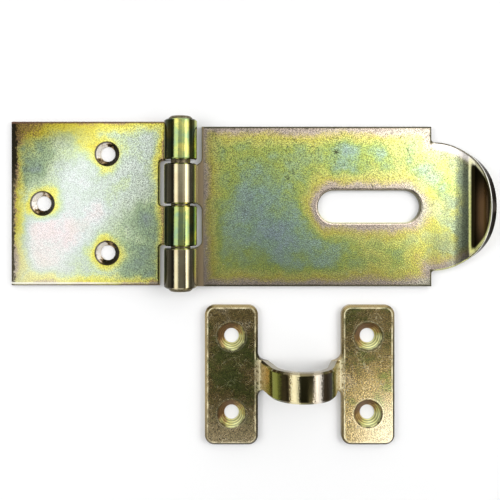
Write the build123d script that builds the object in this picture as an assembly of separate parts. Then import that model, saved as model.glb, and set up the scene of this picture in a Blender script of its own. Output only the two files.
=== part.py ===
from build123d import *
import math
import os

# A hinged hasp pressed from sheet steel: a fixed leaf and a slotted strap curled round one pin,
# and the staple that the strap closes over. Sizes are in millimetres.
# X runs along the hasp, the hinge pin lies along Y, and Z rises from the back face that meets the door.
# The origin is on the back face, below the pin, on the centre line of the strap.

# Hinge
sheet = 2.0                 # thickness of both hinge plates
pin_diameter = 6.0
pin_clearance = 0.08        # radial room between the pin and each curl
knuckle_length = 12.3
knuckle_gap = 0.6           # between neighbouring knuckles
end_knuckle_gap = 1.2       # between the leaf's end knuckle and the strap's first
knuckle_edge_bevel = 0.4    # blunted outer edge of each knuckle's ends
curl_gap = 0.3              # between the end of a curl and the sheet below it
head_overhang = 0.65        # how far the peened ends of the pin spread past it
head_height = 0.9
head_edge_bevel = 0.5
head_gap = 0.1              # between a peened end and the knuckle beside it

# Fixed leaf
leaf_length = 53.6          # from the pin's axis to the outer edge
leaf_width = 51.3
leaf_relief = 1.8           # room between the leaf's edge and the strap's knuckles
leaf_notch_radius = 1.0
leaf_edge_radius = 0.7      # rounded front edge left by the press
leaf_shear_run = 1.3        # sloped outer edge left by the shear
leaf_shear_land = 0.5       # upright part of that edge, next to the back face
leaf_hole = 4.7
leaf_countersink = 7.9
leaf_single_margin = 10.1   # from the outer edge to the single screw hole
leaf_hole_step = 20.2       # from the single hole to the pair beside the hinge
leaf_pair_spacing = 31.0

# Hasp strap
strap_width = 50.0
strap_relief = 1.2          # room between the strap's edge and the leaf's knuckles
strap_notch_radius = 2.0
strap_edge_radius = 0.5
shoulder_reach = 78.2       # from the pin's axis to the step where the tongue begins
shoulder_step = 4.8         # how far the tongue is set in from each side
shoulder_radius = 0.9
lip_run = 6.6               # flat stretch of the tongue before it curls up
lip_radius = 10.0           # of the curl's front face
slot_side_room = 0.5        # between the slot and each side of the loop that comes through it
slot_end_room = 3.7         # between the slot and each leg of that loop
slot_margin = 3.5           # from the end of the slot to the step
slot_edge_radius = 0.8

# Staple
staple_reach = 36.95        # from the pin's axis to the middle of the staple that lies beside the hasp
staple_gap = 5.8            # between the strap's lower edge and the staple
staple_sheet = 2.5
foot_width = 16.6
foot_length = 43.6
foot_corner_radius = 3.0
staple_edge_bevel = 0.7     # blunted front edge of the feet and the loop
foot_step = 0.75            # from the edge of a foot to the bend where the loop rises
loop_span = 24.6            # outer width of the loop where it leaves the feet
loop_height = 19.0
loop_flare = 1.9            # how far each leg leans out between the round top and the foot
loop_band = 9.0
loop_bend_radius = 0.8      # inside the bend between a foot and the loop
loop_root_radius = 2.4      # flare where the band joins a foot
staple_hole = 4.6
staple_countersink = 9.0
staple_hole_spacing = 24.1  # between the two holes of one foot

pick = 0.001                # how near an edge or a corner lies to the place where it is picked

# Sizes that follow
bore_radius = pin_diameter / 2 + pin_clearance
barrel_radius = bore_radius + sheet
curl_radius = bore_radius + sheet / 2
axis_height = barrel_radius
leaf_edge = barrel_radius + leaf_relief
strap_edge = barrel_radius + strap_relief
strap_top = strap_width / 2
strap_bottom = -strap_width / 2
tongue_radius = strap_top - shoulder_step          # round end of the flat blank, centred on the step
lip_start = shoulder_reach + lip_run
lip_axis_height = sheet + lip_radius
lip_middle_radius = lip_radius + sheet / 2
slot_length = loop_span + 2 * slot_end_room
slot_width = loop_band + 2 * slot_side_room
loop_radius = loop_span / 2 - loop_flare           # front face at the top of the loop
foot_inner = loop_span / 2 + foot_step
foot_middle = foot_inner + foot_width / 2
foot_outer = foot_inner + foot_width
staple_middle = strap_bottom - staple_gap - foot_length / 2

# The knuckles stand in a row from the strap's lower edge up to the leaf's upper edge
strap_outer_top = strap_bottom + knuckle_length
leaf_inner_top = strap_outer_top + knuckle_gap + knuckle_length
strap_inner_top = leaf_inner_top + knuckle_gap + knuckle_length
leaf_top = strap_inner_top + end_knuckle_gap + knuckle_length
leaf_bottom = leaf_top - leaf_width
leaf_middle = (leaf_top + leaf_bottom) / 2
leaf_knuckle_tops = [leaf_top, leaf_inner_top]
strap_knuckle_tops = [strap_inner_top, strap_outer_top]


def block(x_one, x_two, y_low, y_high):
    """A flat rectangle between two places along X and two along Y."""
    centre = Pos((x_one + x_two) / 2, (y_low + y_high) / 2)
    return centre * Rectangle(abs(x_two - x_one), y_high - y_low)


def across(section, top, length):
    """Extrude an XZ section across the hasp, from y = top down by a length."""
    return Pos(0, top, 0) * extrude(Plane.XZ * section, length)


def countersunk_hole(x, y, thickness, hole, countersink):
    """A screw hole with a right-angled countersink in the front face."""
    shank = Pos(x, y, thickness / 2) * Cylinder(hole / 2, 2 * thickness)
    top_of_cone = (Align.CENTER, Align.CENTER, Align.MAX)
    cone = Cone(0, countersink / 2, countersink / 2, align=top_of_cone)
    return shank + Pos(x, y, thickness) * cone


def front_edges(plate, x_from, x_to):
    """Edges of a plate's front face whose middles lie strictly between two places along X."""
    edges = plate.edges().filter_by_position(Axis.Z, sheet - pick, sheet + pick)
    return edges.filter_by_position(Axis.X, x_from + pick, x_to - pick)


def corners_at(outline, x, y_low, y_high):
    """Corners of a flat outline at one place along X, strictly between two places along Y."""
    corners = outline.vertices().filter_by_position(Axis.X, x - pick, x + pick)
    return corners.filter_by_position(Axis.Y, y_low + pick, y_high - pick)


def knuckle(top):
    """One curl of the fixed leaf's sheet: under the pin, up its far side and back over it."""
    curl_end = math.degrees(math.asin((bore_radius - curl_gap) / barrel_radius))
    run = Line((-curl_radius, sheet / 2), (0, sheet / 2))
    curl = CenterArc((0, axis_height), curl_radius, -90, 270 + curl_end)
    solid = across(trace(run + curl, sheet), top, knuckle_length)
    rims = solid.edges().filter_by(GeomType.CIRCLE)
    rims = rims.filter_by(lambda edge: edge.radius > curl_radius)
    return chamfer(rims, knuckle_edge_bevel)


def with_necks(outline, edge_x, knuckle_tops, notch_radius):
    """A plate's outline with a neck that runs in under each knuckle, and round corners beside it."""
    sides = outline.bounding_box()
    neck_x = math.copysign(curl_radius, edge_x)
    for top in knuckle_tops:
        outline += block(edge_x, neck_x, top - knuckle_length, top)
    return fillet(corners_at(outline, edge_x, sides.min.Y, sides.max.Y), notch_radius)


def fixed_leaf():
    """The short plate that is screwed to the door."""
    outline = block(-leaf_length, -leaf_edge, leaf_bottom, leaf_top)
    plate = extrude(with_necks(outline, -leaf_edge, leaf_knuckle_tops, leaf_notch_radius), sheet)
    shear_top = -leaf_length + leaf_shear_run
    sheared = Polyline((-leaf_length, leaf_shear_land), (-leaf_length, sheet), (shear_top, sheet), close=True)
    plate -= across(make_face(sheared), leaf_top, leaf_width)
    plate = fillet(front_edges(plate, shear_top, -curl_radius), leaf_edge_radius)
    single_x = -leaf_length + leaf_single_margin
    pair_x = single_x + leaf_hole_step
    pair_half = leaf_pair_spacing / 2
    for x, y in [(single_x, 0), (pair_x, -pair_half), (pair_x, pair_half)]:
        plate -= countersunk_hole(x, leaf_middle + y, sheet, leaf_hole, leaf_countersink)
    for top in leaf_knuckle_tops:
        plate += knuckle(top)
    return plate


def lip_point(turn, radius):
    """A point of the tongue's round edge, rolled up with the lip at a radius from its axis."""
    along = tongue_radius * math.cos(turn) - lip_run
    roll = along / lip_middle_radius
    return (
        lip_start + radius * math.sin(roll),
        tongue_radius * math.sin(turn),
        lip_axis_height - radius * math.cos(roll),
    )


def lip():
    """The curled-up end of the tongue, cut square to the sheet along the round outline."""
    spare = 1.0
    steps = 24
    tip_roll = math.degrees((tongue_radius - lip_run + spare) / lip_middle_radius)
    path = CenterArc((lip_start, lip_axis_height), lip_middle_radius, -90, tip_roll)
    curled = across(trace(path, sheet), tongue_radius, 2 * tongue_radius)
    first_turn = math.acos(lip_run / tongue_radius)
    turns = [first_turn * (2 * step / steps - 1) for step in range(-1, steps + 2)]
    rails = []
    for radius in [lip_radius - spare, lip_radius + sheet + spare]:
        points = [Vector(lip_point(turn, radius)) for turn in turns]
        rails.append(Edge.make_spline(points, parameters=turns))
    cut = Face.make_surface_from_curves(*rails)
    halves = curled.solid().split(cut, keep=Keep.ALL)
    return halves.sort_by_distance((lip_start, 0, sheet / 2))[0]


def hasp_strap():
    """The long plate that swings over the staple."""
    tongue = Pos(shoulder_reach, 0) * Circle(tongue_radius)
    tongue &= block(shoulder_reach, lip_start, strap_bottom, strap_top)
    outline = block(strap_edge, shoulder_reach, strap_bottom, strap_top)
    outline = with_necks(outline, strap_edge, strap_knuckle_tops, strap_notch_radius) + tongue
    outline = fillet(corners_at(outline, shoulder_reach, strap_bottom, strap_top), shoulder_radius)
    plate = extrude(outline, sheet) + lip()
    plate = fillet(front_edges(plate, curl_radius, lip_start), strap_edge_radius)
    slot_x = shoulder_reach - slot_margin - slot_length / 2
    plate -= extrude(Pos(slot_x, 0) * SlotOverall(slot_length, slot_width), sheet)
    slot_edges = front_edges(plate, slot_x - slot_length, slot_x + slot_length)
    slot_edges = slot_edges.filter_by_position(Axis.Y, -slot_width, slot_width)
    plate = fillet(slot_edges, slot_edge_radius)
    for top in strap_knuckle_tops:
        plate += mirror(knuckle(top), about=Plane.YZ)
    return plate


def hinge_pin():
    """The pin through all the knuckles, peened over at both ends."""
    low = strap_bottom - head_gap
    high = leaf_top + head_gap
    shank = Cylinder(pin_diameter / 2, high - low)
    head = Cylinder(pin_diameter / 2 + head_overhang, head_height)
    head = chamfer(head.edges().sort_by(Axis.Z)[-1], head_edge_bevel)
    end = (high - low) / 2 + head_height / 2
    pin = shank + Pos(0, 0, end) * head + Pos(0, 0, -end) * Rot(180, 0, 0) * head
    return Pos(0, (low + high) / 2, axis_height) * Rot(90, 0, 0) * pin


def staple_section():
    """The bent sheet of the staple seen from its end: foot, leg, round top, leg, foot."""
    base = loop_span / 2
    centre_rise = loop_height - loop_radius - staple_sheet
    leg_angle = math.atan2(centre_rise, base) + math.asin(loop_radius / math.hypot(centre_rise, base))
    apex_height = staple_sheet + base * math.tan(leg_angle)
    front = FilletPolyline(
        (-foot_outer, staple_sheet),
        (-base, staple_sheet),
        (0, apex_height),
        (base, staple_sheet),
        (foot_outer, staple_sheet),
        radius=[loop_bend_radius, loop_radius, loop_bend_radius],
    )
    return make_face(offset(front, staple_sheet, side=Side.RIGHT))


def staple_plan():
    """The outline of the staple seen from the front: two feet joined by the band of the loop."""
    plan = Rectangle(2 * foot_middle, loop_band)
    foot = RectangleRounded(foot_width, foot_length, foot_corner_radius)
    plan += [Pos(-foot_middle, 0) * foot, Pos(foot_middle, 0) * foot]
    roots = corners_at(plan, -foot_inner, -loop_band, loop_band)
    roots += corners_at(plan, foot_inner, -loop_band, loop_band)
    return fillet(roots, loop_root_radius)


def staple():
    """The plate that is screwed beside the door, with the loop that takes the padlock."""
    plate = across(staple_section(), foot_length / 2, foot_length)
    plate &= extrude(staple_plan(), loop_height)
    rims = plate.edges().filter_by_position(Axis.Z, staple_sheet - pick, staple_sheet + pick)
    rims = rims.filter_by(lambda edge: abs(edge.center().Y) > loop_band / 2)
    plate = chamfer(rims, staple_edge_bevel)
    for x in [-foot_middle, foot_middle]:
        for y in [-staple_hole_spacing / 2, staple_hole_spacing / 2]:
            plate -= countersunk_hole(x, y, staple_sheet, staple_hole, staple_countersink)
    return Pos(staple_reach, staple_middle, 0) * plate


pieces = {
    "fixed_leaf": fixed_leaf(),
    "hasp_strap": hasp_strap(),
    "hinge_pin": hinge_pin(),
    "staple": staple(),
}
os.makedirs("parts", exist_ok=True)
for name, piece in pieces.items():
    export_step(piece, f"parts/{name}.step")
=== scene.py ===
import math

import bpy
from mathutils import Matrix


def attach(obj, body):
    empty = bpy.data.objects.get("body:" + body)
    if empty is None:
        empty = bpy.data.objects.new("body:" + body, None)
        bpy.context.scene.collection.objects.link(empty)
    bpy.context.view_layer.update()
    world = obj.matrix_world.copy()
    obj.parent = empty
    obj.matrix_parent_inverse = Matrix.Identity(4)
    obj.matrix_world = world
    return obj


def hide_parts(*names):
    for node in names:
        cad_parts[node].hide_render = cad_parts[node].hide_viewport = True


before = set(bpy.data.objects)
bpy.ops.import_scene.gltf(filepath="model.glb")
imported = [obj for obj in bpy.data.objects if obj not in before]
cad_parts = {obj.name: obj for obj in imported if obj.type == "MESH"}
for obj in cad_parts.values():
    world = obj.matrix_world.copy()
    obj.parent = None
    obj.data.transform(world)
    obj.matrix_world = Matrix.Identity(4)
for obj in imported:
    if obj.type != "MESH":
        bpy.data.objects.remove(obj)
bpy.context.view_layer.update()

# Sizes of the hasp in millimetres, as it is built, for patterns that follow its edges and holes
MM = 1000.0
SHEET = 2.0
BARREL_RADIUS = 5.08
LEAF_END = -53.6
LEAF_BOTTOM = -24.7
LEAF_TOP = 26.6
LEAF_HOLES = [(-43.5, 0.95), (-23.3, 16.45), (-23.3, -14.55)]
LEAF_CONE_RADIUS = 3.95
STRAP_ROOT = 6.28
STRAP_HALF_WIDTH = 25.0
SHOULDER = 78.2
TONGUE_RADIUS = 20.2
LIP_RUN = 6.6
LIP_START = SHOULDER + LIP_RUN
LIP_RADIUS = 10.0
LIP_AXIS_HEIGHT = SHEET + LIP_RADIUS
LIP_MIDDLE_RADIUS = LIP_RADIUS + SHEET / 2
SLOT_MIDDLE = (58.7, 0.0)
SLOT_HALF = (16.0, 5.0)

# Sizes of the staple in millimetres
STAPLE_MIDDLE = (36.95, -52.6)
STAPLE_SHEET = 2.5
FOOT_MIDDLE = 21.35
FOOT_HALF = (8.3, 21.8)
FOOT_CORNER = 3.0
STAPLE_HOLE_HALF_SPACING = 12.05
STAPLE_CONE_RADIUS = 4.5
LOOP_HALF = 12.3
LOOP_BAND_HALF = 4.5


class Nodes:
    """Short ways to make and join the nodes of one material or world."""

    def __init__(self, tree):
        self.nodes = tree.nodes
        self.links = tree.links

    def join(self, value, socket):
        """Link a node's output to a socket, or set the socket to a plain value."""
        if isinstance(value, bpy.types.NodeSocket):
            self.links.new(value, socket)
        else:
            socket.default_value = value

    def math(self, operation, *values):
        node = self.nodes.new("ShaderNodeMath")
        node.operation = operation
        for value, socket in zip(values, node.inputs):
            self.join(value, socket)
        return node.outputs[0]

    def chain(self, operation, values):
        """One operation over a row of values, from the first to the last."""
        found = values[0]
        for value in values[1:]:
            found = self.math(operation, found, value)
        return found

    def plus(self, *values):
        return self.chain("ADD", values)

    def less(self, *values):
        return self.chain("SUBTRACT", values)

    def times(self, *values):
        return self.chain("MULTIPLY", values)

    def least(self, *values):
        return self.chain("MINIMUM", values)

    def most(self, *values):
        return self.chain("MAXIMUM", values)

    def unsigned(self, value):
        """A value without its sign."""
        return self.math("ABSOLUTE", value)

    def long_side(self, first, second):
        """The long side of a right-angled triangle."""
        squares = [self.math("POWER", side, 2.0) for side in (first, second)]
        return self.math("SQRT", self.plus(*squares))

    def vector(self, operation, *values, scale=None):
        node = self.nodes.new("ShaderNodeVectorMath")
        node.operation = operation
        for value, socket in zip(values, node.inputs):
            self.join(value, socket)
        if scale is not None:
            self.join(scale, node.inputs["Scale"])
        return node.outputs["Value" if operation in ("LENGTH", "DISTANCE", "DOT_PRODUCT") else "Vector"]

    def split(self, where):
        """The x, y and z of a place."""
        axes = self.nodes.new("ShaderNodeSeparateXYZ")
        self.join(where, axes.inputs[0])
        return axes.outputs

    def spread(self, value, low, high, low_out=0.0, high_out=1.0, smooth=True):
        """Map a value from one range to another, held at both ends."""
        node = self.nodes.new("ShaderNodeMapRange")
        node.interpolation_type = "SMOOTHSTEP" if smooth else "LINEAR"
        for given, name in [(value, "Value"), (low, "From Min"), (high, "From Max"),
                            (low_out, "To Min"), (high_out, "To Max")]:
            self.join(given, node.inputs[name])
        return node.outputs["Result"]

    def fade(self, value, low, high, level=1.0):
        """A level that falls to nothing between two places."""
        return self.spread(value, low, high, level, 0.0)

    def band(self, value, rise, fall, level=1.0):
        """A level that rises between one pair of places and falls between the next."""
        return self.times(self.spread(value, *rise), self.fade(value, *fall, level))

    def ramp(self, value, stops):
        """A row of colours along a value from 0 to 1."""
        node = self.nodes.new("ShaderNodeValToRGB")
        self.join(value, node.inputs[0])
        bands = node.color_ramp.elements
        while len(bands) < len(stops):
            bands.new(0.5)
        for band, (position, colour) in zip(bands, stops):
            band.position = position
            band.color = (*colour, 1.0)
        return node.outputs["Color"]

    def greys(self, value, levels):
        """A row of greys along a value from 0 to 1."""
        return self.ramp(value, [(position, (level, level, level)) for position, level in levels])

    def mix(self, share, first, second, blend="MIX"):
        """The first colour, with a share of the second one over it."""
        node = self.nodes.new("ShaderNodeMix")
        node.data_type = "RGBA"
        node.blend_type = blend
        self.join(share, node.inputs["Factor"])
        colour_sockets = [s for s in node.inputs if s.type == "RGBA"]
        for value, socket in zip((first, second), colour_sockets):
            if not isinstance(value, bpy.types.NodeSocket):
                value = (*value, 1.0)
            self.join(value, socket)
        return [s for s in node.outputs if s.type == "RGBA"][0]

    def shade(self, colour, level):
        """A colour times a grey or another colour."""
        return self.mix(1.0, colour, level, "MULTIPLY")


class Finish(Nodes):
    """A plated finish: a material whose nodes work in millimetres on the piece's own coordinates."""

    SPECK_SIZE = 0.3
    SATIN_ROUGHNESS = 0.24
    POLISHED_ROUGHNESS = 0.10
    POLISHED_GRAIN = 0.15

    def __init__(self, name, grain_size=0.32, grain_detail=1.0, grain_rough=0.5, grain_height=0.03):
        self.material = bpy.data.materials.new(name)
        self.material.use_nodes = True
        super().__init__(self.material.node_tree)
        self.shader = self.nodes["Principled BSDF"]
        own = self.nodes.new("ShaderNodeTexCoord")
        self.place = self.vector("SCALE", own.outputs["Object"], scale=MM)
        self.x, self.y, self.z = self.split(self.place)
        self.grain = self.noise(grain_size, grain_detail, grain_rough)
        self.grain_height = grain_height

    def noise(self, size, detail=2.0, rough=0.5, where=None, colour=False):
        """A soft cloud whose lumps are about as large as size, in millimetres."""
        node = self.nodes.new("ShaderNodeTexNoise")
        self.join(where or self.place, node.inputs["Vector"])
        node.inputs["Scale"].default_value = 1.0 / size
        node.inputs["Detail"].default_value = detail
        node.inputs["Roughness"].default_value = rough
        return node.outputs["Color" if colour else "Fac"]

    def sway(self, cloud, reach):
        """A cloud as a push to either side, as far as reach."""
        return self.spread(cloud, 0.3, 0.7, -reach, reach)

    def wander(self, size, reach, detail=2.0):
        """The piece's own coordinates, pushed about by a cloud, so that bands along edges aren't straight."""
        cloud = self.noise(size, detail, rough=0.6, colour=True)
        push = self.vector("SUBTRACT", cloud, (0.5, 0.5, 0.5))
        return self.vector("ADD", self.place, self.vector("SCALE", push, scale=reach))

    def flat(self, where):
        """A place seen from the front: its height is dropped."""
        return self.vector("MULTIPLY", where, (1.0, 1.0, 0.0))

    def from_point(self, where, x, y):
        """How far a place lies from a point, seen from the front."""
        return self.vector("DISTANCE", self.flat(where), (x, y, 0.0))

    def pools(self, where, places):
        """The sum of soft round patches, each given as its x, y, radius and depth."""
        total = 0.0
        for x, y, radius, depth in places:
            patch = self.fade(self.from_point(where, x, y), 0.2 * radius, radius, depth)
            total = self.plus(patch, total)
        return total

    def inside_box(self, where, low, high):
        """How far a place lies inside a rectangle."""
        x, y, _ = self.split(where)
        return self.least(self.less(x, low[0]), self.less(high[0], x),
                          self.less(y, low[1]), self.less(high[1], y))

    def from_round(self, place, half, radius):
        """How far a place, counted from the middle of a rectangle with round corners, lies outside it."""
        straight = (half[0] - radius, half[1] - radius, 0.0)
        beyond = self.vector("SUBTRACT", self.vector("ABSOLUTE", place), straight)
        past = self.vector("MAXIMUM", self.flat(beyond), (0.0, 0.0, 0.0))
        return self.less(self.vector("LENGTH", past), radius)

    def specks(self, colour, darkest):
        """A colour with fine dark specks, as the plating shows all over."""
        cloud = self.noise(self.SPECK_SIZE, detail=1.5, rough=0.8)
        return self.shade(colour, self.spread(cloud, 0.36, 0.60, darkest, 1.0))

    def hairlines(self, lines, drift):
        """Thin curled lines, each kind given as its size, its thinness and a shift that sets it apart."""
        found = 0.0
        for size, thin, shift in lines:
            where = self.vector("ADD", self.wander(*drift), (shift, shift, 0.0))
            off_line = self.unsigned(self.less(self.noise(size, detail=1.0, where=where), 0.5))
            found = self.most(self.fade(off_line, thin, 3.0 * thin), found)
        return found

    def round_hole(self, from_hole, toward, cloud):
        """From 0 to 1 round a hole: highest on the side that lies toward a direction, with a ragged edge."""
        turned = self.vector("DOT_PRODUCT", self.vector("NORMALIZE", from_hole), toward)
        return self.spread(self.plus(turned, cloud), -1.0, 1.0, smooth=False)

    def in_countersink(self, ring, radius):
        """1 in the cone of a countersink, and 0 outside it and on the back face."""
        return self.times(self.fade(ring, radius - 0.15, radius + 0.05), self.spread(self.z, 0.05, 0.2))

    def on_barrel(self):
        """1 where the sheet is curled into the knuckles, and 0 on the flat."""
        return self.fade(self.unsigned(self.x), BARREL_RADIUS + 0.12, BARREL_RADIUS + 0.72)

    def knuckle_with_painted_light(self, cloud_size, detail, stops, flank, between):
        """A film with two painted highlights along the knuckles, and painted shade between them and down the
        sides.
        """
        film = self.ramp(self.noise(cloud_size, detail), stops)
        across = self.spread(self.x, -BARREL_RADIUS, BARREL_RADIUS, smooth=False)
        # Greys of painted light: 1 for the painted highlights, flank and between for the painted shade
        lines = self.greys(across, [
            (0.28, flank), (0.34, between), (0.405, 1.0), (0.47, between), (0.66, between),
            (0.715, 1.0), (0.77, 0.6 * between), (0.82, flank), (0.92, flank), (0.97, between),
        ])
        return self.shade(film, lines)

    def plated(self, colour, rough, bump, bare=None):
        """Set the finish as plated metal, less so where it is bare, with bumps as high as its grain."""
        self.join(1.0 if bare is None else self.less(1.0, bare), self.shader.inputs["Metallic"])
        self.join(colour, self.shader.inputs["Base Color"])
        self.join(rough, self.shader.inputs["Roughness"])
        node = self.nodes.new("ShaderNodeBump")
        node.inputs["Strength"].default_value = 1.0
        node.inputs["Distance"].default_value = self.grain_height / MM
        self.join(bump, node.inputs["Height"])
        self.links.new(node.outputs["Normal"], self.shader.inputs["Normal"])
        return self.material

    def polished(self, colour, smooth, bare):
        """A plated sheet whose grain is rubbed away where smooth says so."""
        rough = self.spread(smooth, 0.0, 1.0, self.SATIN_ROUGHNESS, self.POLISHED_ROUGHNESS)
        bump = self.times(self.grain, self.spread(smooth, 0.0, 1.0, 1.0, self.POLISHED_GRAIN))
        return self.plated(colour, rough, bump, bare)


# The leaf's film from its edges inwards, its green patches, the painted light and shade on its bare cones,
# and its knuckles
LEAF_FILM = [
    (0.00, (0.32, 0.21, 0.15)),
    (0.07, (0.60, 0.44, 0.20)),
    (0.15, (0.84, 0.76, 0.12)),
    (0.32, (0.86, 0.86, 0.26)),
    (0.46, (0.66, 0.78, 0.46)),
    (0.62, (0.64, 0.74, 0.63)),
    (0.78, (0.74, 0.80, 0.77)),
    (1.00, (0.88, 0.78, 0.78)),
]
LEAF_GREEN = [
    (0.10, (0.58, 0.68, 0.36)),
    (0.32, (0.39, 0.52, 0.27)),
    (0.58, (0.33, 0.44, 0.31)),
    (0.85, (0.30, 0.35, 0.37)),
]
# Painted light and shade round the bare cones, from the lit side to the shaded side
LEAF_CONE_PAINTED_LIGHT = [
    (0.14, (1.00, 0.94, 0.84)),
    (0.34, (0.62, 0.46, 0.28)),
    (0.48, (0.14, 0.09, 0.04)),
    (0.60, (0.02, 0.018, 0.01)),
]
LEAF_KNUCKLE = [(0.34, (0.36, 0.52, 0.30)), (0.50, (0.50, 0.62, 0.22)), (0.66, (0.86, 0.80, 0.22))]

# Where the leaf's film is paler, and where it is green: x, y, radius and depth of soft patches
LEAF_PALE = [(-40.0, -9.0, 14.0, 0.34), (-27.0, -2.0, 6.0, 0.24), (-33.0, 7.0, 10.0, 0.14),
             (-44.0, -19.0, 9.0, 0.10), (-47.0, 22.0, 9.0, -0.34), (-33.0, 23.0, 9.0, -0.14),
             (-28.5, 20.5, 7.0, -0.34)]
LEAF_DEEP = [(-11.0, -12.0, 19.0, 0.40), (-14.0, -17.0, 15.0, 0.12), (-10.0, -5.0, 7.0, 0.36),
             (-10.0, 4.0, 11.0, 0.10), (-12.0, -22.0, 9.0, 0.10), (-46.0, 16.5, 9.0, 0.46),
             (-46.5, 9.5, 8.5, 0.38), (-37.0, 18.0, 9.0, 0.22)]
LEAF_FILM_INSET = 1.2

# The leaf's corner darkened by painted shade, its specked and pale corners, and the direction in which
# painted shade turns its cones black
SHADED_UPPER_CORNER = (-54.0, 27.0)
SPECKED_CORNER = (-52.0, 19.0)
PALE_CORNER = (-46.0, -22.0)
LEAF_CONE_SHADED_SIDE = (0.86, -0.51, 0.0)

# Single colours on the leaf
UNSHADED = (1.0, 1.0, 1.0)
# The olive tint of the painted shade along the top
UPPER_SHADE_OLIVE = (0.70, 0.65, 0.42)
CORNER_CREAM = (0.92, 0.92, 0.80)
PIT_BLACK = (0.05, 0.05, 0.04)
# Painted shade on the sheared edge
SHEARED_SHADE_BROWN = (0.06, 0.052, 0.03)
SHEARED_SHADE_BLACK = (0.014, 0.012, 0.007)
UPPER_EDGE_MAROON = (0.16, 0.09, 0.06)
# A painted highlight and a painted dark outline along the lower edge
LOWER_EDGE_HIGHLIGHT = (0.96, 0.95, 0.82)
LOWER_EDGE_SHADE = (0.10, 0.07, 0.04)
CONE_RIM_BLACK = (0.05, 0.04, 0.02)


def leaf_film(f, where):
    """Yellow along the edges and round the holes, pale inside, and green by the hinge and the corner."""
    edge = f.inside_box(where, (LEAF_END + LEAF_FILM_INSET, LEAF_BOTTOM), (-BARREL_RADIUS, LEAF_TOP))
    for x, y in LEAF_HOLES:
        edge = f.least(edge, f.less(f.from_point(where, x, y), LEAF_CONE_RADIUS - 2.0))
    rim = f.spread(f.plus(edge, f.spread(f.noise(9.0), 0.35, 0.65, -0.6, 1.0)), -1.0, 6.5)
    cloud = f.sway(f.noise(7.0, detail=4.0, rough=0.6), 0.12)
    thin = f.plus(f.pools(where, LEAF_PALE), 0.62, cloud)
    colour = f.ramp(f.plus(f.times(rim, thin), f.sway(f.grain, 0.04)), LEAF_FILM)
    blotch = f.spread(f.noise(5.0, detail=1.5), 0.34, 0.66, 0.72, 1.15)
    deep = f.plus(f.times(f.pools(where, LEAF_DEEP), blotch), cloud)
    deep = f.times(deep, f.spread(edge, -0.5, 4.0))
    return f.mix(f.spread(deep, 0.0, 0.50, 0.0, 0.95), colour, f.ramp(deep, LEAF_GREEN))


def leaf_painted_shade_and_specks(f, where, colour):
    """Painted shade towards the outer end, the upper corner and along the top, paler at the lower corner,
    with specks and pits.
    """
    # Painted shade: darker towards the outer end, the upper corner and the top
    colour = f.shade(colour, f.spread(f.x, LEAF_END + 1.0, LEAF_END + 8.0, 0.68, 1.0))
    colour = f.shade(colour, f.spread(f.from_point(f.place, *SHADED_UPPER_CORNER), 6.0, 30.0, 0.68, 1.0))
    top = f.times(f.spread(f.y, 17.0, 24.0), f.fade(f.x, -36.0, -20.0))
    colour = f.shade(colour, f.mix(top, UNSHADED, UPPER_SHADE_OLIVE))
    pale = f.fade(f.from_point(where, *PALE_CORNER), 4.0, 18.0, 0.35)
    colour = f.mix(pale, colour, CORNER_CREAM)
    right_specks = f.spread(f.x, -36.0, -12.0, 0.74, 0.42)
    corner_specks = f.spread(f.from_point(f.place, *SPECKED_CORNER), 8.0, 22.0, 0.32, 0.74)
    colour = f.specks(colour, f.least(right_specks, corner_specks))
    pits = f.times(f.spread(f.noise(1.0, detail=1.0), 0.74, 0.79, 0.0, 0.8), f.spread(f.x, -42.0, -34.0))
    return f.mix(pits, colour, PIT_BLACK)


def leaf_edges(f, colour):
    """The sheared outer edge nearly black and ragged, its dark cut face deepened by painted shade, the upper
    edge maroon, and the lower one with a painted highlight and a painted dark outline.
    """
    # Painted shade on the sheared edge, blacker towards the top
    high = f.spread(f.y, 4.0, 14.0)
    ragged = f.plus(f.x, f.sway(f.noise(0.9, detail=3.0), 0.5), f.spread(high, 0.0, 1.0, 0.45, -0.35))
    sheared = f.fade(ragged, LEAF_END + 1.5, LEAF_END + 2.1, 0.97)
    colour = f.mix(sheared, colour, f.mix(high, SHEARED_SHADE_BROWN, SHEARED_SHADE_BLACK))
    colour = f.mix(f.spread(f.y, LEAF_TOP - 0.9, LEAF_TOP - 0.4, 0.0, 0.8), colour, UPPER_EDGE_MAROON)
    # A painted highlight just inside the lower edge, and a painted dark outline at the very edge
    from_bottom = f.less(f.y, LEAF_BOTTOM)
    painted_highlight = f.times(f.band(from_bottom, (0.3, 0.5), (0.9, 1.2)), f.spread(f.x, -30.0, -16.0, 1.0, 0.3))
    colour = f.mix(f.times(painted_highlight, 0.8), colour, LOWER_EDGE_HIGHLIGHT)
    colour = f.mix(f.fade(from_bottom, 0.1, 0.3, 0.9), colour, LOWER_EDGE_SHADE)
    return colour, f.most(f.times(painted_highlight, 0.5), sheared)


def leaf_countersinks(f, colour, bare):
    """Bare cones with painted light and shade: pale to the left, black to the lower right, with a black rim
    round each.
    """
    for x, y in LEAF_HOLES:
        from_hole = f.flat(f.vector("SUBTRACT", f.place, (x, y, 0.0)))
        cloud = f.sway(f.noise(1.4, detail=3.0), 0.4)
        around = f.round_hole(from_hole, LEAF_CONE_SHADED_SIDE, cloud)
        ring = f.vector("LENGTH", from_hole)
        rim = f.spread(ring, LEAF_CONE_RADIUS - 0.6, LEAF_CONE_RADIUS - 0.35, 0.0, 0.85)
        cone = f.mix(rim, f.ramp(around, LEAF_CONE_PAINTED_LIGHT), CONE_RIM_BLACK)
        sunk = f.in_countersink(ring, LEAF_CONE_RADIUS)
        colour = f.mix(sunk, colour, cone)
        bare = f.most(bare, f.times(sunk, f.fade(around, 0.15, 0.45, 0.65)))
    return colour, bare


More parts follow.
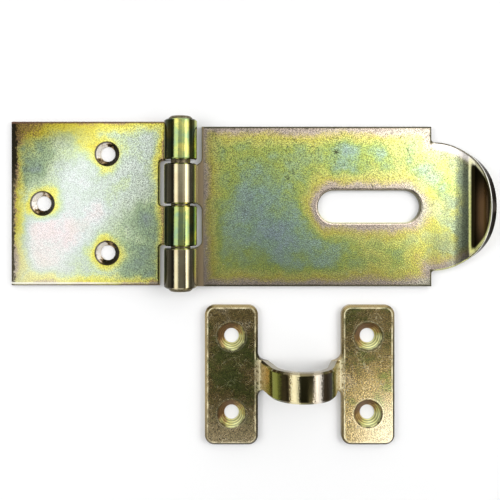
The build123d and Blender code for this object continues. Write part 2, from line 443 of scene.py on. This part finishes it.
def leaf_finish():
    """Pale zinc with a yellow rim along the edges and round the holes, and green patches."""
    f = Finish("leaf_zinc_finish")
    where = f.wander(5.0, 3.4, detail=4.0)
    colour = leaf_painted_shade_and_specks(f, where, leaf_film(f, where))
    colour, bare = leaf_edges(f, colour)
    colour, bare = leaf_countersinks(f, colour, bare)
    barrel = f.on_barrel()
    # The knuckles, with painted highlights and painted shade
    colour = f.mix(barrel, colour, f.knuckle_with_painted_light(4.0, 3.0, LEAF_KNUCKLE, flank=0.07, between=0.72))
    # Bare parts get no shine, so the painted shade on the sheared edge stays black
    f.shader.inputs["Specular IOR Level"].default_value = 0.0
    return f.polished(colour, barrel, bare)


# The strap's film from its edges inwards, and its knuckles
STRAP_FILM = [
    (0.00, (0.60, 0.50, 0.41)),
    (0.09, (0.78, 0.65, 0.54)),
    (0.18, (0.86, 0.72, 0.32)),
    (0.30, (0.86, 0.80, 0.18)),
    (0.45, (0.82, 0.85, 0.24)),
    (0.55, (0.60, 0.72, 0.18)),
    (0.66, (0.52, 0.69, 0.28)),
    (0.79, (0.48, 0.68, 0.48)),
    (0.96, (0.46, 0.60, 0.63)),
]
STRAP_KNUCKLE = [(0.3, (0.84, 0.70, 0.42)), (0.7, (0.98, 0.90, 0.58))]

# Where the strap's film is thicker: x, y, radius and depth of soft patches
STRAP_POOLS = [(28.0, -4.0, 17.0, 0.20), (36.0, -13.0, 17.0, 0.18), (23.0, 8.0, 12.0, 0.14),
               (18.0, -6.0, 14.0, 0.08), (48.0, -15.0, 13.0, 0.14), (51.5, 15.0, 10.0, 0.30),
               (60.5, 18.0, 4.5, 0.20), (63.5, 14.5, 5.0, 0.20), (71.0, 17.0, 5.5, 0.20),
               (73.5, 12.5, 6.0, 0.24), (78.0, 7.0, 7.5, 0.20), (84.0, 5.0, 6.0, 0.12),
               (34.0, 12.0, 12.0, 0.06), (66.0, -17.0, 8.0, 0.10)]

# Cracks as their size, thinness and shift, and a star of scratches as their degrees and reach
STRAP_CRACKS = [(3.0, 0.005, 0.0), (4.6, 0.0035, 43.0)]
STAR_PLACE = (48.3, 17.0)
STAR_SCRATCHES = [(15, 2.0), (70, 1.2), (128, 1.5)]

# Single colours on the strap
WASHED_YELLOW = (0.92, 0.93, 0.72)
MINT = (0.66, 0.74, 0.54)
DUST = (0.95, 0.96, 0.80)
CRACK_BLACK = (0.06, 0.065, 0.03)
# A painted highlight and painted shade round the slot, and painted shade along the outline
SLOT_EDGE_HIGHLIGHT = (0.92, 0.92, 0.56)
SLOT_EDGE_SHADE = (0.12, 0.11, 0.05)
UPPER_OUTLINE_SHADE = (0.05, 0.045, 0.02)
LOWER_OUTLINE_SHADE = (0.13, 0.12, 0.06)
# Painted shade where the plate meets the knuckles
HINGE_SHADE_BROWN = (0.27, 0.205, 0.12)


def in_strap(f, where):
    """How far a place lies inside the strap's outline, with the round tongue laid flat."""
    body = f.inside_box(where, (STRAP_ROOT, -STRAP_HALF_WIDTH), (SHOULDER, STRAP_HALF_WIDTH))
    return f.most(body, f.less(TONGUE_RADIUS, f.from_point(where, SHOULDER, 0.0)))


def past_slot(f, where):
    """How far a place lies outside the slot."""
    from_slot = f.vector("SUBTRACT", where, (*SLOT_MIDDLE, 0.0))
    return f.from_round(from_slot, SLOT_HALF, SLOT_HALF[1])


def strap_film(f):
    """Mauve at the edges, then gold and green to blue-grey inside, washed out at the upper right, with
    painted shade towards the hinge.
    """
    where = f.wander(5.0, 4.0, detail=4.0)
    rim = f.spread(f.least(in_strap(f, where), past_slot(f, where)), -1.0, 7.5)
    cloud = f.sway(f.noise(6.0, detail=4.0, rough=0.6), 0.10)
    thick = f.plus(f.pools(where, STRAP_POOLS), f.spread(f.x, 22.0, 60.0, 0.58, 0.44), cloud)
    colour = f.ramp(f.plus(f.times(rim, thick), f.sway(f.grain, 0.04)), STRAP_FILM)
    washed = f.times(f.spread(f.x, 56.0, 76.0, 0.0, 0.2), f.spread(f.y, 4.0, 18.0))
    colour = f.mix(washed, colour, WASHED_YELLOW)
    mint = f.times(f.spread(f.x, 66.0, 80.0, 0.1, 0.45), f.spread(f.noise(6.0), 0.42, 0.62))
    colour = f.mix(mint, colour, MINT)
    # Painted shade, darker towards the hinge
    colour = f.shade(colour, f.spread(f.x, 6.0, 15.0, 0.62, 1.0))
    colour = f.specks(colour, f.spread(f.y, -20.0, 22.0, 0.66, 0.34))
    dust = f.spread(f.noise(0.8, rough=0.6), 0.70, 0.76, 0.0, 0.5)
    return f.mix(dust, colour, DUST)


def strap_cracks(f, colour):
    """Fine dark cracks in the film, most of them on the upper half, and the star of scratches."""
    crack = f.times(f.hairlines(STRAP_CRACKS, drift=(1.2, 1.4)),
                    f.spread(f.noise(2.4, detail=3.0), 0.54, 0.64),
                    f.spread(f.y, -10.0, 8.0, 0.15, 0.75))
    from_star = f.flat(f.vector("SUBTRACT", f.wander(0.9, 0.5), (*STAR_PLACE, 0.0)))
    past_star = f.vector("LENGTH", from_star)
    for degrees, reach in STAR_SCRATCHES:
        turn = math.radians(degrees)
        across = (math.sin(turn), math.cos(turn), 0.0)
        off_line = f.unsigned(f.vector("DOT_PRODUCT", from_star, across))
        line = f.times(f.fade(off_line, 0.08, 0.26, 0.95), f.fade(past_star, 0.3, reach))
        crack = f.most(crack, line)
    return f.mix(crack, colour, CRACK_BLACK)


def strap_edges(f, colour):
    """Painted shade on the slot's edge above and at the right and a painted highlight below it, and painted
    shade along the outermost edge, darker above.
    """
    # A painted highlight below the slot, and painted shade above it and at its right
    slot_edge = f.fade(past_slot(f, f.place), 0.15, 0.45, 0.85)
    slot_side = f.spread(f.plus(f.y, f.spread(f.x, 66.0, 76.0, 0.0, 4.0)), -4.0, 1.0)
    colour = f.mix(slot_edge, colour, f.mix(slot_side, SLOT_EDGE_HIGHLIGHT, SLOT_EDGE_SHADE))
    # Painted shade along the outline, darker above
    outline = f.times(f.fade(in_strap(f, f.place), 0.40, 0.72, 0.95), f.fade(f.x, SHOULDER, SHOULDER + 1.0))
    lower = f.fade(f.y, -14.0, -8.0)
    return f.mix(outline, colour, f.mix(lower, UPPER_OUTLINE_SHADE, LOWER_OUTLINE_SHADE))


# Single colours on the lip, most of them painted highlights, painted shade and a painted glow, and where its
# crease lies along the bend
TEAL_FLAT = (0.46, 0.56, 0.36)
TEAL_BENT = (0.38, 0.46, 0.32)
TONGUE_PALE = (1.0, 0.94, 0.91)
LOWER_CREASE_HIGHLIGHT = (0.66, 0.67, 0.22)
UPPER_CREASE_HIGHLIGHT = (0.76, 0.74, 0.40)
CURL_SHADE_BLACK = (0.012, 0.010, 0.004)
CURL_GLOW_BROWN = (0.12, 0.062, 0.02)
LOWER_TONGUE_LINE_HIGHLIGHT = (0.74, 0.74, 0.36)
UPPER_TONGUE_LINE_SHADE = (0.08, 0.07, 0.035)
CUT_SHADE_BLACK = (0.03, 0.025, 0.02)
CUT_HIGHLIGHT = (0.84, 0.83, 0.76)
CREASE_ROLL = 5.9
CREASE_ROUNDING = 2.4


class Lip:
    """Where a place on the strap lies along, across and through the curled tongue, in millimetres."""

    def __init__(self, f):
        self.past_start = f.less(f.x, LIP_START)
        below_axis = f.less(LIP_AXIS_HEIGHT, f.z)
        self.roll = f.times(f.math("ARCTAN2", self.past_start, below_axis), LIP_MIDDLE_RADIUS)
        self.to_edge = f.less(TONGUE_RADIUS, f.long_side(f.plus(self.roll, LIP_RUN), f.y))
        self.depth = f.long_side(f.most(self.past_start, 0.0), below_axis)
        self.front = f.fade(self.depth, LIP_MIDDLE_RADIUS - 0.4, LIP_MIDDLE_RADIUS + 0.2)
        self.on_tongue = f.spread(f.x, SHOULDER, SHOULDER + 2.0)
        self.upper = f.spread(f.y, 2.0, 12.0)


def lip_bend(f, lip, colour):
    """Painted shade low on the tongue, teal film deepened by painted shade where it begins to bend, and pale
    along its upper edge.
    """
    low_shade = f.times(f.fade(f.y, -14.0, 2.0, 0.42), f.spread(f.x, 74.0, 80.0))
    colour = f.shade(colour, f.less(1.0, low_shade))
    # The teal is partly the film and partly painted shade over the bend
    pushed = f.plus(lip.roll, f.spread(f.noise(4.5, detail=3.0), 0.34, 0.66, -3.0, 3.0))
    bend = f.times(f.spread(pushed, -5.0, 3.5, 0.0, 0.92), f.spread(lip.to_edge, 1.6, 4.6), lip.front)
    teal = f.mix(f.spread(lip.roll, 0.0, 4.6), TEAL_FLAT, TEAL_BENT)
    colour = f.mix(bend, colour, f.specks(teal, 0.35))
    pale = f.times(f.fade(lip.to_edge, 1.4, 3.0, 0.8), lip.upper, lip.on_tongue, lip.front)
    return f.mix(pale, colour, TONGUE_PALE), f.times(pale, 0.5)


def lip_curl(f, lip, colour, bare):
    """A painted highlight along the crease, painted shade with a painted brown glow inside the curl, and
    along the tongue's edge a line of painted highlight below and painted shade above.
    """
    rim_width = f.spread(f.unsigned(f.y), 4.0, 15.0, 0.1, 1.4)
    past_crease = f.less(lip.roll, CREASE_ROLL)
    inside_rim = f.less(lip.to_edge, rim_width)
    dish = f.math("SMOOTH_MIN", past_crease, inside_rim, CREASE_ROUNDING)
    # A patchy painted highlight along the crease
    highlight_patchiness = f.spread(f.noise(1.2, detail=3.0), 0.3, 0.6, 0.6, 1.0)
    crease = f.times(f.spread(dish, -1.1, -0.5), highlight_patchiness, lip.front)
    bright = f.mix(lip.upper, LOWER_CREASE_HIGHLIGHT, UPPER_CREASE_HIGHLIGHT)
    colour = f.mix(f.times(crease, 0.85), colour, bright)
    # Painted shade inside the curl, with a painted brown glow in it
    from_glow = f.unsigned(f.plus(f.y, 2.0))
    glow = f.times(f.band(lip.roll, (6.4, 10.0), (10.0, 13.0)), f.fade(from_glow, 2.0, 12.0))
    curled = f.times(f.spread(dish, -0.3, 0.35), lip.front)
    colour = f.mix(curled, colour, f.mix(glow, CURL_SHADE_BLACK, CURL_GLOW_BROWN))
    # A painted highlight below and painted shade above along the tongue's edge
    line = f.times(f.fade(lip.to_edge, 0.40, 0.75, 0.95), lip.on_tongue)
    colour = f.mix(line, colour, f.mix(f.spread(f.y, -8.0, 4.0), LOWER_TONGUE_LINE_HIGHLIGHT, UPPER_TONGUE_LINE_SHADE))
    return colour, f.mix(curled, f.most(f.times(crease, 0.4), bare), f.times(glow, 0.6))


def lip_cut(f, lip, colour, bare):
    """The cut end of the lip: a painted highlight along its inner edge, painted shade outside it."""
    cut = f.times(f.fade(lip.to_edge, 0.04, 0.18), f.spread(lip.past_start, 0.5, 1.5))
    inner = f.fade(lip.depth, LIP_MIDDLE_RADIUS - 0.75, LIP_MIDDLE_RADIUS - 0.55)
    colour = f.mix(cut, colour, f.mix(inner, CUT_SHADE_BLACK, CUT_HIGHLIGHT))
    return colour, f.most(bare, f.times(cut, inner))


def strap_finish():
    """Zinc whose film runs from mauve at the edges through gold and green to blue-grey inside."""
    f = Finish("strap_zinc_finish")
    colour = strap_edges(f, strap_cracks(f, strap_film(f)))
    barrel = f.on_barrel()
    # The knuckles, with painted highlights and painted shade
    colour = f.mix(barrel, colour, f.knuckle_with_painted_light(5.0, 2.0, STRAP_KNUCKLE, flank=0.08, between=0.46))
    # Painted shade where the plate meets the knuckles
    beside = f.band(f.x, (BARREL_RADIUS - 0.1, BARREL_RADIUS + 0.3), (STRAP_ROOT + 0.32, STRAP_ROOT + 0.92))
    colour = f.mix(beside, colour, HINGE_SHADE_BROWN)
    lip = Lip(f)
    colour, bare = lip_bend(f, lip, colour)
    colour, bare = lip_curl(f, lip, colour, bare)
    colour, bare = lip_cut(f, lip, colour, bare)
    flanks = f.times(barrel, f.spread(f.unsigned(f.x), 2.4, 3.6, 0.0, 0.12))
    bare = f.most(bare, flanks, f.times(beside, 0.7))
    smooth = f.most(barrel, f.spread(lip.past_start, 1.0, 4.0))
    return f.polished(colour, smooth, bare)


# The pin's film, from its hollows to its high spots
PIN_FILM = [(0.3, (0.08, 0.07, 0.04)), (0.7, (0.24, 0.20, 0.12))]
PIN_ROUGHNESS = 0.3


def pin_finish():
    """Brown-gold zinc on the peened pin."""
    f = Finish("pin_zinc_finish", grain_size=0.6, grain_detail=3.0, grain_rough=0.6, grain_height=0.05)
    return f.plated(f.ramp(f.grain, PIN_FILM), PIN_ROUGHNESS, f.grain)


# The film on the staple's feet, the painted light and shade over its loop from left to right, and the painted
# light on its countersinks
STAPLE_FILM = [
    (0.30, (0.34, 0.40, 0.11)),
    (0.42, (0.50, 0.46, 0.14)),
    (0.50, (0.70, 0.51, 0.20)),
    (0.58, (0.78, 0.58, 0.22)),
    (0.70, (0.98, 0.76, 0.40)),
]
LOOP_PAINTED_LIGHT = [
    (0.01, (0.40, 0.30, 0.12)),
    (0.08, (0.66, 0.47, 0.16)),
    (0.12, (0.24, 0.25, 0.05)),
    (0.20, (0.20, 0.21, 0.04)),
    (0.23, (0.05, 0.04, 0.015)),
    (0.32, (0.16, 0.12, 0.05)),
    (0.35, (0.98, 0.86, 0.50)),
    (0.42, (0.98, 0.88, 0.52)),
    (0.45, (0.26, 0.23, 0.09)),
    (0.59, (0.10, 0.08, 0.035)),
    (0.62, (0.98, 0.84, 0.64)),
    (0.69, (1.00, 0.92, 0.80)),
    (0.72, (0.08, 0.055, 0.03)),
    (0.84, (0.015, 0.012, 0.006)),
    (0.86, (0.17, 0.19, 0.035)),
    (0.92, (0.20, 0.22, 0.05)),
    (0.97, (0.50, 0.40, 0.16)),
]
STAPLE_CONE_PAINTED_LIGHT = [
    (0.20, (0.22, 0.11, 0.04)),
    (0.45, (0.56, 0.36, 0.14)),
    (0.70, (0.78, 0.74, 0.26)),
    (0.92, (0.95, 0.96, 0.46)),
]

# Where the staple's film is greener or more golden: x, y, radius and depth of soft patches
STAPLE_POOLS = [(14.0, -52.0, 10.0, -0.15), (20.0, -44.0, 8.0, -0.06), (61.0, -50.0, 8.0, -0.06),
                (13.0, -71.0, 8.0, 0.06), (59.0, -36.0, 9.0, 0.05), (16.0, -36.0, 8.0, 0.04),
                (54.0, -52.0, 7.0, 0.08)]

# Scratches on the staple as their size, thinness and shift
STAPLE_SCRATCHES = [(2.6, 0.002, 0.0), (4.2, 0.0014, 31.0), (3.3, 0.0016, 57.0)]

# Single colours on the staple, some of them painted light and shade, the direction in which painted light
# turns its cones bright, and the cutter's rings
FOOT_PAINTED_LIGHT = (1.0, 0.94, 0.78)
FOOT_ENDS_LIT_GOLD = (1.0, 0.80, 0.46)
SPARKLE_GOLD = (0.98, 0.86, 0.46)
SCRATCH_PALE = (0.92, 0.88, 0.66)
HIGHLIGHT_PAINT_GOLD = (0.98, 0.88, 0.58)
BEVEL_LIT_GOLD = (0.40, 0.31, 0.15)
BEVEL_SHADE_BLACK = (0.05, 0.04, 0.02)
LOOP_BACK_BROWN = (0.24, 0.20, 0.13)
CONE_EDGE_BLACK = (0.04, 0.03, 0.015)
CONE_LINE_PALE = (0.95, 0.86, 0.58)
GREY_WEIGHTS = (0.34, 0.33, 0.33)
STAPLE_CONE_LIT_SIDE = (0.6, -0.8, 0.0)
CUTTER_RINGS = 11.0

# Where painted shade turns a foot's blunted edge black, and the roughness and grain that set the staple's
# parts off
FOOT_SHADED_SIDE = (0.6 / FOOT_HALF[0], -0.7 / FOOT_HALF[1], 0.0)
LOOP_ROUGHNESS = 0.15
LOOP_GRAIN = 0.2
SCRATCH_ROUGHNESS = 0.2
CONE_ROUGHNESS = 0.32


def from_nearest(f, x, y):
    """A place on the staple, counted from the nearest of the points x and y to each side of its middle."""
    from_middle = f.vector("SUBTRACT", f.place, (*STAPLE_MIDDLE, 0.0))
    nearest = f.vector("MULTIPLY", f.vector("SIGN", from_middle), (x, y, 0.0))
    return f.flat(f.vector("SUBTRACT", from_middle, nearest))


def staple_feet(f):
    """Brown, gold and green in clouds, with painted light towards the lower ends and the lower right, and
    painted shade towards the top.
    """
    tone = f.plus(f.noise(6.0, detail=4.0, rough=0.6), f.sway(f.grain, 0.06))
    colour = f.ramp(f.plus(tone, f.pools(f.wander(5.0, 4.0), STAPLE_POOLS)), STAPLE_FILM)
    # Painted light towards the lower right and the lower ends, and painted shade towards the top
    pale = f.times(f.spread(f.x, 50.0, 66.0, 0.0, 0.62), f.fade(f.y, -72.0, -52.0))
    colour = f.mix(pale, colour, FOOT_PAINTED_LIGHT)
    ends = f.times(f.fade(f.y, -74.0, -58.0), f.spread(f.x, 30.0, 44.0, 0.85, 0.3))
    colour = f.mix(ends, colour, FOOT_ENDS_LIT_GOLD)
    return f.shade(colour, f.spread(f.y, -54.0, -38.0, 1.0, 0.72)), f.times(ends, 0.3)


def staple_loop(f, foot, colour, bare):
    """Painted highlights over the top of the loop, painted shade between them, and green film down its sides.
    """
    across = f.plus(f.less(f.x, STAPLE_MIDDLE[0]), f.sway(f.grain, 0.4))
    # Painted highlights and painted shade across the loop; the brightest painted highlights are less metallic
    loop = f.ramp(f.spread(across, -LOOP_HALF, LOOP_HALF, smooth=False), LOOP_PAINTED_LIGHT)
    brightness = f.vector("DOT_PRODUCT", loop, GREY_WEIGHTS)
    stripes = f.times(f.spread(brightness, 0.55, 0.75, 0.0, 0.6), f.less(1.0, foot))
    return f.mix(foot, loop, colour), f.most(bare, stripes)


def staple_grain(f, foot, colour):
    """Dark specks and gold sparkles on the feet, and hardly any on the loop."""
    softer = f.times(foot, f.spread(f.x, 48.0, 60.0, 0.0, 0.22))
    colour = f.specks(colour, f.plus(f.spread(foot, 0.0, 1.0, 0.85, 0.2), softer))
    sparkle = f.spread(f.noise(0.36, rough=0.7), 0.56, 0.68, 0.0, 0.6)
    return f.mix(f.times(sparkle, foot), colour, SPARKLE_GOLD)


def staple_painted_highlights(f, foot, past_foot):
    """Painted highlights inside the feet's edges, along the bends, and where the loop joins on."""
    edge = f.times(f.band(past_foot, (-1.25, -0.95), (-0.75, -0.65)), foot,
                   f.spread(f.noise(2.5, detail=3.0), 0.35, 0.65, 0.35, 1.0))
    from_middle = f.unsigned(f.less(f.x, STAPLE_MIDDLE[0]))
    bend = f.plus(from_middle, f.sway(f.noise(0.9, detail=3.0), 0.35))
    bend = f.band(bend, (LOOP_HALF - 0.2, LOOP_HALF + 0.1), (LOOP_HALF + 0.5, LOOP_HALF + 0.8))
    beside_band = f.unsigned(f.less(f.y, STAPLE_MIDDLE[1]))
    root = f.times(f.fade(from_middle, LOOP_HALF + 0.6, LOOP_HALF + 2.5, 0.8), foot,
                   f.fade(beside_band, LOOP_BAND_HALF - 0.5, LOOP_BAND_HALF + 2.5),
                   f.spread(f.noise(0.8, detail=3.0), 0.35, 0.6, 0.3, 1.0))
    return f.most(edge, f.times(bend, 0.8), root)


def staple_edges(f, foot, in_foot, past_foot, colour):
    """The feet's blunted edge has a painted gold highlight above and painted shade below, nearly black, and
    the loop's back edge is dark.
    """
    # A painted highlight above and to the left, painted shade below and to the right
    lower = f.vector("DOT_PRODUCT", in_foot, FOOT_SHADED_SIDE)
    rim = f.mix(f.spread(lower, -0.35, 0.35), BEVEL_LIT_GOLD, BEVEL_SHADE_BLACK)
    bevel = f.times(f.fade(f.z, STAPLE_SHEET - 0.12, STAPLE_SHEET - 0.02), f.spread(past_foot, -0.9, -0.75))
    colour = f.mix(bevel, colour, rim)
    above_middle = f.less(f.y, STAPLE_MIDDLE[1])
    back = f.times(f.spread(above_middle, LOOP_BAND_HALF - 0.7, LOOP_BAND_HALF - 0.4),
                   f.fade(foot, 0.0, 1.0, 0.8))
    return f.mix(back, colour, LOOP_BACK_BROWN)


def staple_countersinks(f, colour):
    """Cones with the rings of the cutter, in painted light that is brown above and yellow-green below, and a
    pale line round them.
    """
    from_hole = from_nearest(f, FOOT_MIDDLE, STAPLE_HOLE_HALF_SPACING)
    ring = f.vector("LENGTH", from_hole)
    # Painted light on the cones, brighter below
    around = f.round_hole(from_hole, STAPLE_CONE_LIT_SIDE, f.sway(f.noise(2.0), 0.35))
    rings = f.spread(f.math("SINE", f.times(ring, CUTTER_RINGS)), -1.0, 1.0, 0.4, 1.0)
    cone = f.shade(f.ramp(around, STAPLE_CONE_PAINTED_LIGHT), rings)
    lip = f.times(f.spread(ring, STAPLE_CONE_RADIUS - 0.55, STAPLE_CONE_RADIUS - 0.35),
                  f.spread(f.noise(2.2), 0.40, 0.55, 0.2, 0.9))
    cone = f.mix(lip, cone, CONE_EDGE_BLACK)
    line = f.band(ring, (STAPLE_CONE_RADIUS + 0.05, STAPLE_CONE_RADIUS + 0.2),
                  (STAPLE_CONE_RADIUS + 0.3, STAPLE_CONE_RADIUS + 0.5), 0.5)
    sunk = f.in_countersink(ring, STAPLE_CONE_RADIUS)
    return f.mix(sunk, f.mix(line, colour, CONE_LINE_PALE), cone), sunk


def staple_finish():
    """Darker gold-brown zinc, with green showing through, fine curled scratches and a polished loop."""
    f = Finish("staple_zinc_finish")
    foot = f.fade(f.z, STAPLE_SHEET + 0.1, STAPLE_SHEET + 0.6)
    colour, bare = staple_feet(f)
    colour, bare = staple_loop(f, foot, colour, bare)
    colour = staple_grain(f, foot, colour)
    patchy = f.spread(f.noise(3.0, detail=3.0), 0.46, 0.60)
    scratch = f.times(f.hairlines(STAPLE_SCRATCHES, drift=(1.5, 1.2)), patchy, foot)
    colour = f.mix(f.times(scratch, 0.4), colour, SCRATCH_PALE)
    in_foot = from_nearest(f, FOOT_MIDDLE, 0.0)
    past_foot = f.from_round(in_foot, FOOT_HALF, FOOT_CORNER)
    # Painted highlights inside the feet's edges, along the bends and where the loop joins on
    painted_highlight = staple_painted_highlights(f, foot, past_foot)
    colour = f.mix(f.times(painted_highlight, 0.85), colour, HIGHLIGHT_PAINT_GOLD)
    colour = staple_edges(f, foot, in_foot, past_foot, colour)
    colour, sunk = staple_countersinks(f, colour)
    rough = f.spread(foot, 0.0, 1.0, LOOP_ROUGHNESS, f.SATIN_ROUGHNESS)
    rough = f.plus(rough, f.times(scratch, SCRATCH_ROUGHNESS))
    rough = f.most(rough, f.times(sunk, CONE_ROUGHNESS))
    bump = f.times(f.grain, f.spread(foot, 0.0, 1.0, LOOP_GRAIN, 1.0))
    bare = f.most(bare, f.times(painted_highlight, 0.72), f.times(sunk, 0.4))
    return f.plated(colour, rough, bump, bare)


# Corners of a solid's triangles nearer than this, in metres, are one, and bends up to the angle are smooth
MERGE_DISTANCE = 0.000002
SMOOTH_ANGLE = 35


def dressed(node, name, body, finish):
    """A smooth copy of one solid, with its finish, that stands for the solid in pictures."""
    piece = bpy.data.objects.new(name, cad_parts[node].data.copy())
    bpy.context.collection.objects.link(piece)
    bpy.ops.object.select_all(action="DESELECT")
    piece.select_set(True)
    bpy.context.view_layer.objects.active = piece
    bpy.ops.mesh.customdata_custom_splitnormals_clear()
    bpy.ops.object.mode_set(mode="EDIT")
    bpy.ops.mesh.select_all(action="SELECT")
    bpy.ops.mesh.remove_doubles(threshold=MERGE_DISTANCE)
    bpy.ops.object.mode_set(mode="OBJECT")
    bpy.ops.object.shade_smooth_by_angle(angle=math.radians(SMOOTH_ANGLE))
    modifier = piece.modifiers.new("even_shading", "WEIGHTED_NORMAL")
    modifier.keep_sharp = True
    bpy.ops.object.modifier_apply(modifier=modifier.name)
    piece.data.materials.clear()
    piece.data.materials.append(finish)
    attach(piece, body)
    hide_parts(node)


dressed("fixed_leaf", "leaf_plate", "fixed", leaf_finish())
dressed("hasp_strap", "strap_plate", "strap", strap_finish())
dressed("hinge_pin", "pin_rod", "fixed", pin_finish())
dressed("staple", "staple_plate", "fixed", staple_finish())

# The floor in metres: it is toned down towards the lamps, so that it is evenly white in the picture
FLOOR_SIZE = 3.0
FLOOR_DROP = 0.00005
TOWARD_LAMPS = (1.0, 0.7, 0.0)
FLOOR_DIM_END = -0.12
FLOOR_LIT_END = 0.15
FLOOR_DIM_WHITE = 0.82
FLOOR_LIT_WHITE = 0.57
FLOOR_LIFT = 0.16
FLOOR_ROUGHNESS = 0.9


def white_floor():
    """A white sheet below the hasp, which stays white to the camera and keeps the soft shadows."""
    bpy.ops.object.select_all(action="DESELECT")
    bpy.ops.mesh.primitive_plane_add(size=FLOOR_SIZE, location=(0.0, 0.0, -FLOOR_DROP))
    floor = bpy.context.object
    floor.name = "floor_sheet"
    material = bpy.data.materials.new("white_sheet")
    material.use_nodes = True
    n = Nodes(material.node_tree)
    shader = n.nodes["Principled BSDF"]
    place = n.nodes.new("ShaderNodeTexCoord").outputs["Object"]
    along = n.vector("DOT_PRODUCT", place, TOWARD_LAMPS)
    white = n.spread(along, FLOOR_DIM_END, FLOOR_LIT_END, FLOOR_DIM_WHITE, FLOOR_LIT_WHITE, smooth=False)
    n.join(white, shader.inputs["Base Color"])
    shader.inputs["Roughness"].default_value = FLOOR_ROUGHNESS
    shader.inputs["Specular IOR Level"].default_value = 0.0
    ray = n.nodes.new("ShaderNodeLightPath").outputs
    seen = n.most(ray["Is Camera Ray"], ray["Is Glossy Ray"], ray["Is Transmission Ray"])
    shader.inputs["Emission Color"].default_value = (1.0, 1.0, 1.0, 1.0)
    n.join(n.times(seen, FLOOR_LIFT), shader.inputs["Emission Strength"])
    floor.data.materials.append(material)


white_floor()


def lamp(name, place, size, brightness, turn=(0, 0, 0)):
    """A soft box that faces down until it is turned, as large along X and Y as size says, in metres."""
    bpy.ops.object.light_add(type="AREA", location=place)
    light = bpy.context.object
    light.name = name
    light.rotation_euler = [math.radians(degrees) for degrees in turn]
    light.data.shape = "RECTANGLE"
    light.data.size, light.data.size_y = size
    light.data.energy = brightness * math.pi * size[0] * size[1]
    light.visible_camera = False
    return light


lamp("left_box", place=(-0.0885, -0.03, 0.174), size=(0.113, 0.26), brightness=1.0)
lamp("right_box", place=(0.215, 0.05, 0.155), size=(0.225, 0.28), brightness=1.8, turn=(0, 0, 26))
lamp("right_glow", place=(0.0564, 0.0617, 0.155), size=(0.05, 0.16), brightness=0.4, turn=(0, 0, 26))
lamp("back_box", place=(0.04, 0.14, 0.17), size=(0.14, 0.10), brightness=0.9)
lamp("low_box", place=(0.110, -0.130, 0.155), size=(0.06, 0.06), brightness=2.6)
lamp("back_wall", place=(0.03, 0.45, 0.22), size=(1.60, 0.40), brightness=0.6, turn=(-90, 0, 0))
for fill_name, x, lean in [("left_fill", -0.40, -45), ("right_fill", 0.44, 45)]:
    fill = lamp(fill_name, place=(x, 0.05, 0.42), size=(0.30, 0.30), brightness=4.2, turn=(0, lean, 0))
    fill.visible_glossy = False

# The studio: a ceiling that dims away from a bright middle, and a glow low along the horizon
CEILING_MIDDLE = (0.06, 0.30, 0.95)
CEILING_STRETCH = (0.45, 1.0, 1.0)
CEILING_LEVELS = [(0.17, 0.84), (0.28, 0.42), (0.40, 0.26), (0.53, 0.06), (0.62, 0.015)]
GLOW_FULL_HEIGHT = 0.30
GLOW_END_HEIGHT = 0.68
GLOW_LEVEL = 0.55


def dim_studio():
    """The world that the metal mirrors, by the height and the place of each direction."""
    world = bpy.data.worlds.new("dim_studio")
    bpy.context.scene.world = world
    world.use_nodes = True
    n = Nodes(world.node_tree)
    direction = n.nodes.new("ShaderNodeTexCoord").outputs["Generated"]
    stretched = n.vector("MULTIPLY", direction, CEILING_STRETCH)
    ceiling = n.greys(n.vector("DISTANCE", stretched, CEILING_MIDDLE), CEILING_LEVELS)
    height = n.split(direction)[2]
    glow = n.fade(height, GLOW_FULL_HEIGHT, GLOW_END_HEIGHT, GLOW_LEVEL)
    n.join(n.most(ceiling, glow), n.nodes["Background"].inputs["Color"])


dim_studio()

# The camera looks straight down from just over 20 cm, a little above the middle of the picture
CAMERA_PLACE = (0.01828, -0.00172, 0.205)
CAMERA_LENS = 46.77
CAMERA_SHIFT = (0.02, -0.076)
CAMERA_NEAREST = 0.01
bpy.ops.object.camera_add(location=CAMERA_PLACE, rotation=(0.0, 0.0, 0.0))
camera = bpy.context.object
camera.data.lens = CAMERA_LENS
camera.data.shift_x, camera.data.shift_y = CAMERA_SHIFT
camera.data.clip_start = CAMERA_NEAREST
bpy.context.scene.camera = camera

bpy.context.scene.view_settings.view_transform = "Standard"
